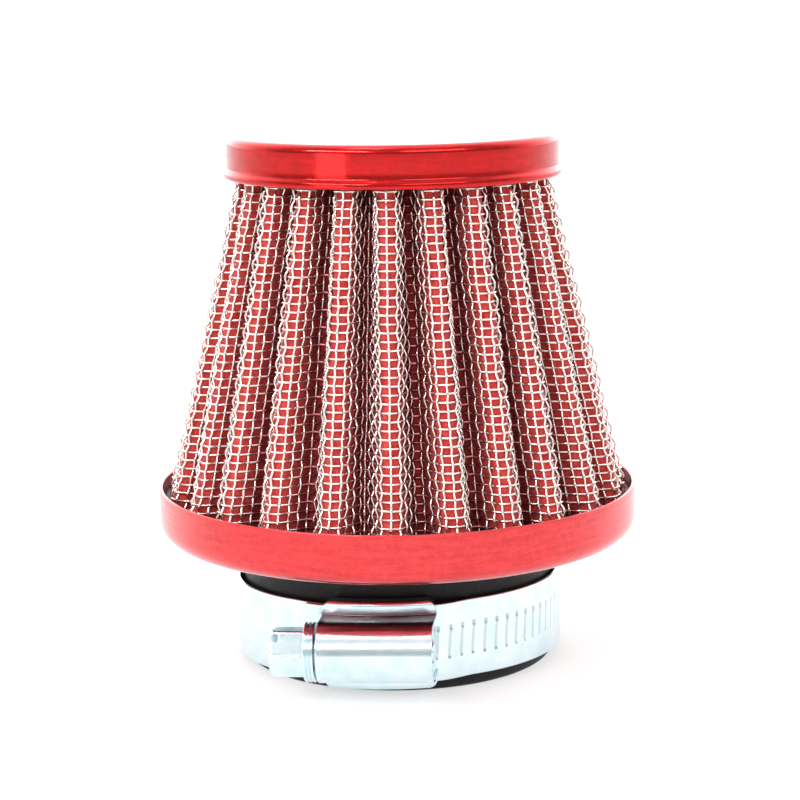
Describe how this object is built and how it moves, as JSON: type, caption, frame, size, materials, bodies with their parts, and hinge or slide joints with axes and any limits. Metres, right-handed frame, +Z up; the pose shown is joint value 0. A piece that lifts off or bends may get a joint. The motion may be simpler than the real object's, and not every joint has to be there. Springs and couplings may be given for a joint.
{
  "type": "air filter",
  "caption": "Cone air filter with lacquered metal cap and pan, wire-covered pleats, a rubber neck and a worm-drive hose clamp.",
  "frame": {"origin": "centre of the rubber neck's open end, on the filter's axis, which is the lowest plane of the part", "axes": "+Z up the filter's axis from the neck to the cap; the clamp's screw lies across the front, on the -Y side, with its head towards -X"},
  "size_m": [0.077, 0.077, 0.0842],
  "materials": {
    "red_lacquer": "transparent red lacquer over spun aluminium, glossy",
    "resin": "cast potting resin, satin",
    "steel_wire": "bright drawn wire in a plain weave",
    "red_gauze": "red cotton gauze, matte",
    "black_rubber": "moulded rubber, satin",
    "zinc_steel": "bright zinc plate, smooth"
  },
  "bodies": {
    "filter": {"top_cap": "red_lacquer", "top_potting": "resin", "outer_mesh": "steel_wire", "filter_media": "red_gauze", "inner_mesh": "steel_wire", "bottom_pan": "red_lacquer", "bottom_potting": "resin", "rubber_neck": "black_rubber"},
    "clamp": {"clamp_band": "zinc_steel", "clamp_saddle": "zinc_steel", "clamp_housing": "zinc_steel"},
    "screw": {"clamp_screw": "zinc_steel"}
  },
  "joints": [
    {"name": "clamp_turn", "type": "hinge", "parent": "filter", "child": "clamp", "pos_m": [0, 0, 0.0073], "axis": [-0.0157, 0.0384, 0.9991], "continuous": true},
    {"name": "screw_turn", "type": "hinge", "parent": "clamp", "child": "screw", "pos_m": [-0.00347, -0.0314, 0.00845], "axis": [0.9938, -0.1091, 0.0198], "continuous": true}
  ]
}
